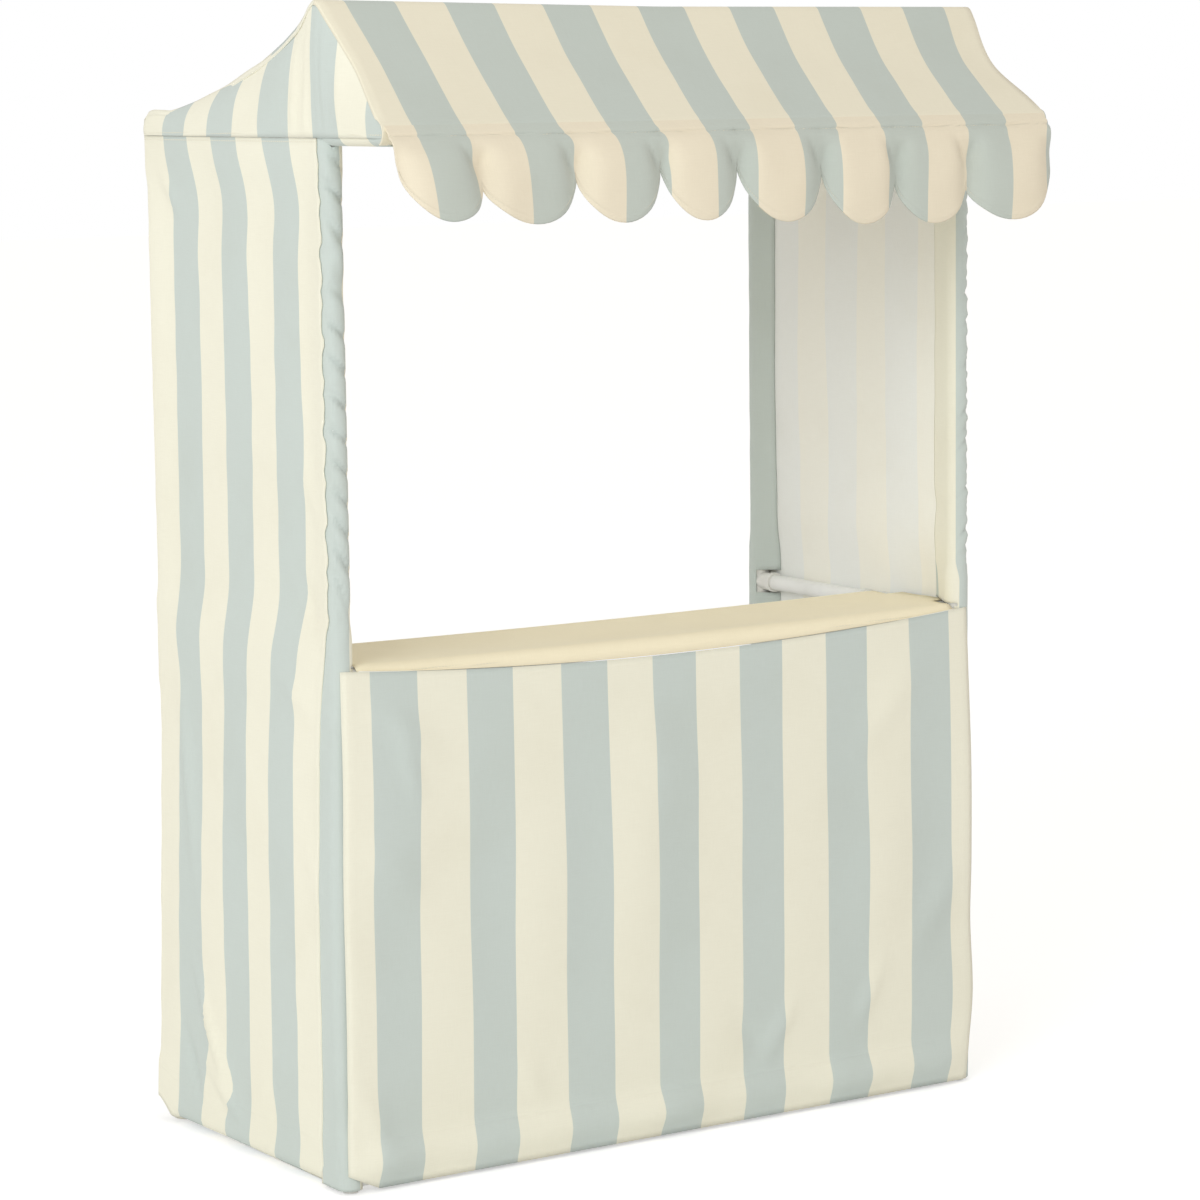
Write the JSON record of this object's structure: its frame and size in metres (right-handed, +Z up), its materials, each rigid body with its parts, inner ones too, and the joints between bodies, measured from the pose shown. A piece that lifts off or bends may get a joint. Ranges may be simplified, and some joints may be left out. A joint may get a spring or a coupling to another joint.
{
  "type": "toy market stall",
  "caption": "Free-standing toy market stall: tube frame with push-fit connectors under a striped cloth cover, shelf counter, pitched roof, awning and a swinging scalloped valance.",
  "frame": {"origin": "on the floor under the middle of the stall's overall width and depth", "axes": "+Z up, the serving front faces -Y, +X to the right of someone who faces the front"},
  "size_m": [0.718, 0.4884, 1.0575],
  "materials": {
    "tube": "white powder coat, satin",
    "connector": "moulded white plastic, satin",
    "striped_cloth": "cream and pale blue-grey striped woven cloth",
    "cream_cloth": "cream woven cloth"
  },
  "bodies": {
    "stall": {"base_corner_front_left": "connector", "base_corner_front_right": "connector", "base_corner_back_left": "connector", "base_corner_back_right": "connector", "base_rail_front": "tube", "base_rail_back": "tube", "base_rail_left": "tube", "base_rail_right": "tube", "lower_post_front_left": "tube", "lower_post_front_right": "tube", "lower_post_back_left": "tube", "lower_post_back_right": "tube", "counter_cross_left": "connector", "counter_cross_right": "connector", "counter_tee_left": "connector", "counter_tee_right": "connector", "shelf_tee_left": "connector", "shelf_tee_right": "connector", "counter_rail_front": "tube", "shelf_rail_rear": "tube", "side_rail_front_left": "tube", "side_rail_front_right": "tube", "side_rail_back_left": "tube", "side_rail_back_right": "tube", "upper_post_front_left": "tube", "upper_post_front_right": "tube", "upper_post_back_left": "tube", "upper_post_back_right": "tube", "eave_cross_left": "connector", "eave_cross_right": "connector", "eave_corner_left": "connector", "eave_corner_right": "connector", "eave_rail_left": "tube", "eave_rail_right": "tube", "eave_rail_back": "tube", "awning_arm_left": "tube", "awning_arm_right": "tube", "awning_elbow_left": "connector", "awning_elbow_right": "connector", "awning_bar": "tube", "ridge_post_left": "tube", "ridge_post_right": "tube", "ridge_elbow_left": "connector", "ridge_elbow_right": "connector", "ridge_bar": "tube", "left_wall": "striped_cloth", "right_wall": "striped_cloth", "left_gable": "striped_cloth", "right_gable": "striped_cloth", "awning": "striped_cloth", "rear_roof": "striped_cloth", "counter_cloth": "cream_cloth", "front_panel": "striped_cloth"},
    "valance": {"valance": "striped_cloth"}
  },
  "joints": [
    {"name": "valance_swing", "type": "hinge", "parent": "stall", "child": "valance", "pos_m": [0, -0.21722, 0.94338], "axis": [1, 0, 0], "range_deg": [-70, 45]}
  ]
}
